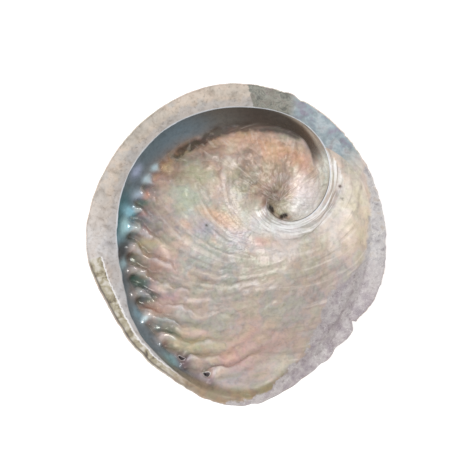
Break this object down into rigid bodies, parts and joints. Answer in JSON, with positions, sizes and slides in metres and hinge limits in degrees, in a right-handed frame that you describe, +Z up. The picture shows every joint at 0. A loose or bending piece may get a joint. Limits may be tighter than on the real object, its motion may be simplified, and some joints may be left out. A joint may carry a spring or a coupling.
{
  "type": "abalone shell",
  "caption": "Empty abalone shell lying on its back: a shallow pearly bowl with an inward shelf, a spiral apex and a row of breathing pores.",
  "frame": {"origin": "middle of the bounding box's underside, on the surface that the shell's back rests on", "axes": "+Z up out of the open bowl, +Y along the shell's length towards the spire end, +X across the shell towards the thin outer lip"},
  "size_m": [0.1436, 0.1546, 0.0456],
  "materials": {
    "shell": "pearly nacre inside, worn chalky growth layers outside"
  },
  "bodies": {
    "root": {"shell": "shell"}
  },
  "joints": []
}
